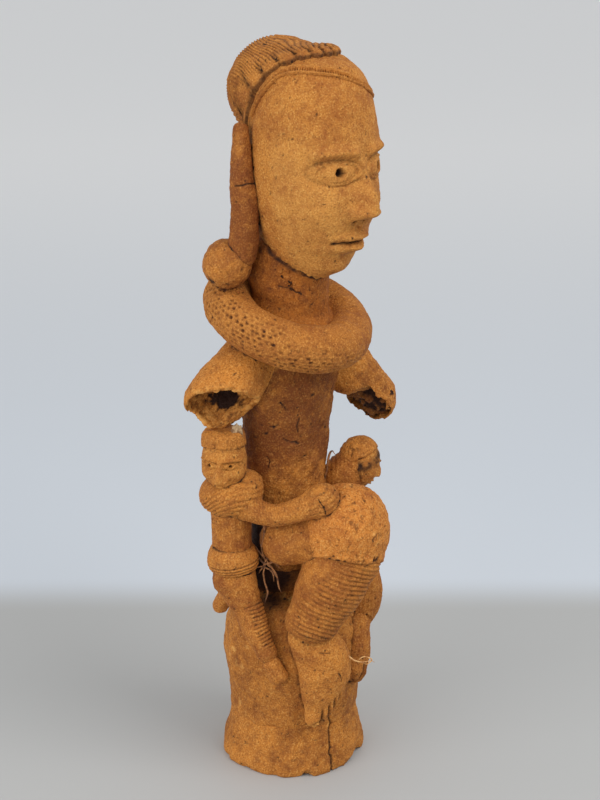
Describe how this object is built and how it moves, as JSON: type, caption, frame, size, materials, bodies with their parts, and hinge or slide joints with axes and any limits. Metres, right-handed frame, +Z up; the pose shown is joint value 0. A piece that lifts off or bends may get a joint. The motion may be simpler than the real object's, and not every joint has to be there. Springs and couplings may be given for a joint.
{
  "type": "seated terracotta figure on a pedestal",
  "caption": "Tall seated terracotta figure with a thick neck ring, broken arm stumps, a small attendant and a child at its knee, on a hollow drum pedestal.",
  "frame": {"origin": "middle of the overall box, on the plane the foot ring stands on", "axes": "+Z up along the figure's height, -Y the way the figure faces, +X towards the figure's left side"},
  "size_m": [0.1577, 0.1325, 0.4973],
  "materials": {
    "body_clay": "unglazed fired clay, matt and gritty",
    "neck_clay": "unglazed fired clay, matt and gritty",
    "face_clay": "unglazed fired clay, matt and gritty",
    "hair_clay": "unglazed fired clay, matt and gritty",
    "collar_clay": "unglazed fired clay, matt and gritty",
    "limb_clay": "unglazed fired clay, matt and gritty",
    "knee_clay": "unglazed fired clay, matt and gritty"
  },
  "bodies": {
    "root": {"attendant_arm": "limb_clay", "attendant_belt": "limb_clay", "attendant_body": "limb_clay", "attendant_cap": "hair_clay", "attendant_foot": "limb_clay", "attendant_head": "face_clay", "attendant_rear_foot": "limb_clay", "attendant_ringed_leg": "limb_clay", "attendant_scarf": "limb_clay", "attendant_skirt": "limb_clay", "child_body": "limb_clay", "child_hair": "hair_clay", "child_head": "face_clay", "collar_ring": "collar_clay", "hair_back": "hair_clay", "hair_roll_1": "hair_clay", "hair_roll_10": "hair_clay", "hair_roll_11": "hair_clay", "hair_roll_12": "hair_clay", "hair_roll_13": "hair_clay", "hair_roll_2": "hair_clay", "hair_roll_3": "hair_clay", "hair_roll_4": "hair_clay", "hair_roll_5": "hair_clay", "hair_roll_6": "hair_clay", "hair_roll_7": "hair_clay", "hair_roll_8": "hair_clay", "hair_roll_9": "hair_clay", "head": "face_clay", "headband": "hair_clay", "hips": "body_clay", "left_arm_stump": "body_clay", "left_calf": "limb_clay", "left_foot": "limb_clay", "left_thigh": "limb_clay", "left_tress": "hair_clay", "left_tress_ball": "hair_clay", "neck": "neck_clay", "pedestal_bowl": "body_clay", "pedestal_foot": "body_clay", "right_arm_stump": "body_clay", "right_foot": "limb_clay", "right_knee": "knee_clay", "right_ringed_shin": "limb_clay", "right_thigh": "limb_clay", "right_tress": "hair_clay", "right_tress_ball": "hair_clay", "torso": "body_clay"}
  },
  "joints": []
}
